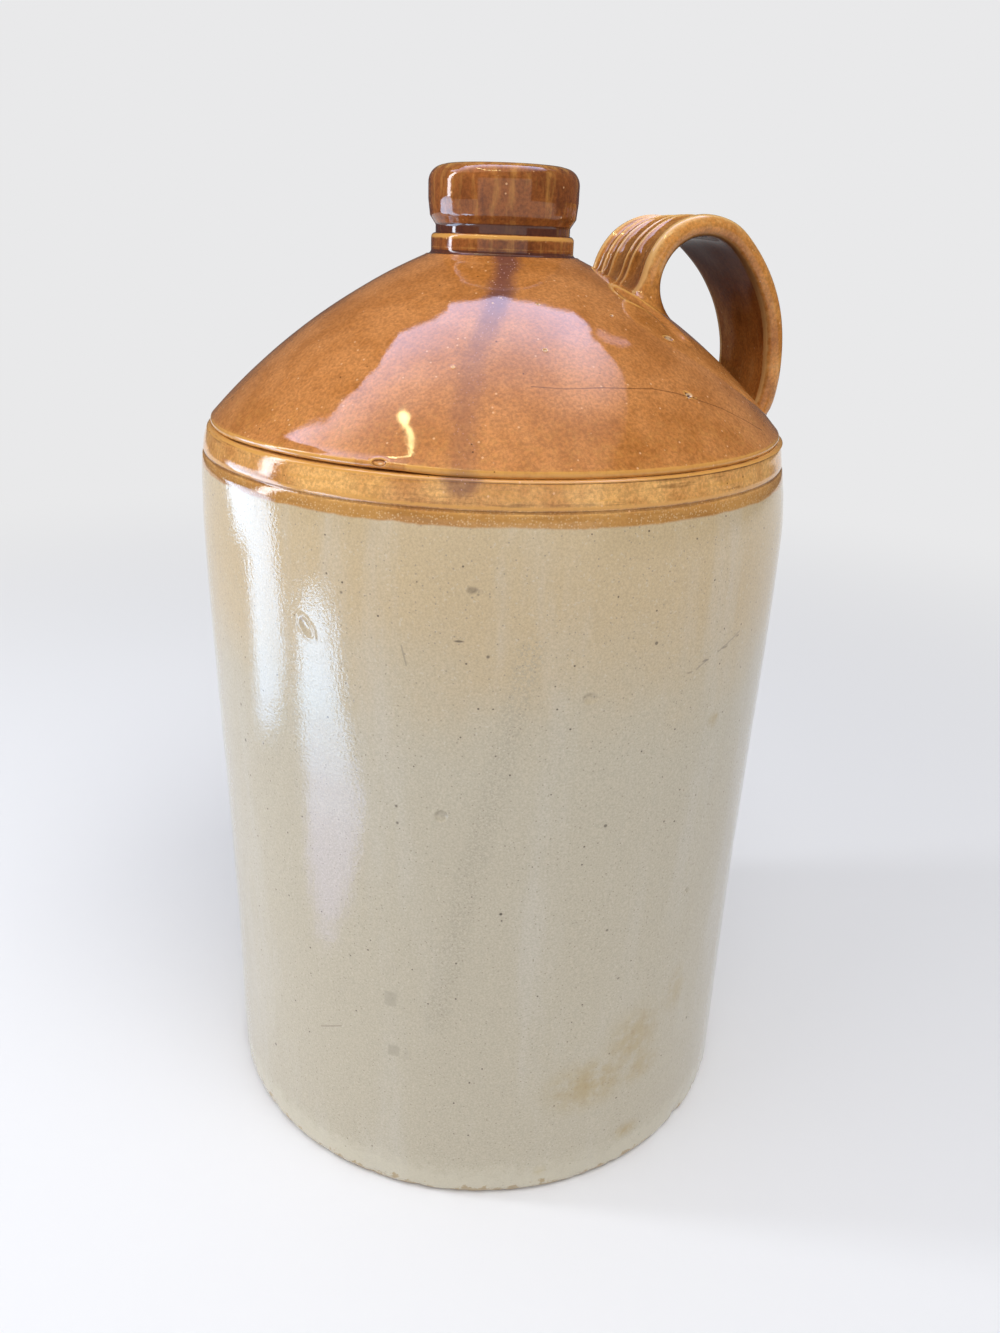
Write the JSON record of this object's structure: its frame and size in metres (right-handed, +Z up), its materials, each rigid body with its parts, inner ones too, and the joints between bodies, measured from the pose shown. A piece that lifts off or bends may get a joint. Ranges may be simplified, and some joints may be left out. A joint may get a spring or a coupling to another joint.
{
  "type": "stoneware crock jug",
  "caption": "Two-tone glazed stoneware crock jug: cream straight barrel, brown shoulder, short collared neck and fluted strap handle.",
  "frame": {"origin": "centre of the flat rest face, on the axis of the jug", "axes": "+Z up along the axis of the jug, towards the mouth; +X from the axis towards the handle"},
  "size_m": [0.2557, 0.2532, 0.4196],
  "materials": {
    "cream_glaze": "gloss",
    "brown_glaze": "gloss",
    "bare_clay": "matte"
  },
  "bodies": {
    "root": {"floor_disc": "bare_clay", "barrel_wall": "cream_glaze", "shoulder_dome": "brown_glaze", "neck_ring": "brown_glaze", "mouth_collar": "brown_glaze", "upper_root": "brown_glaze", "strap_handle": "brown_glaze", "lower_root": "brown_glaze"}
  },
  "joints": []
}
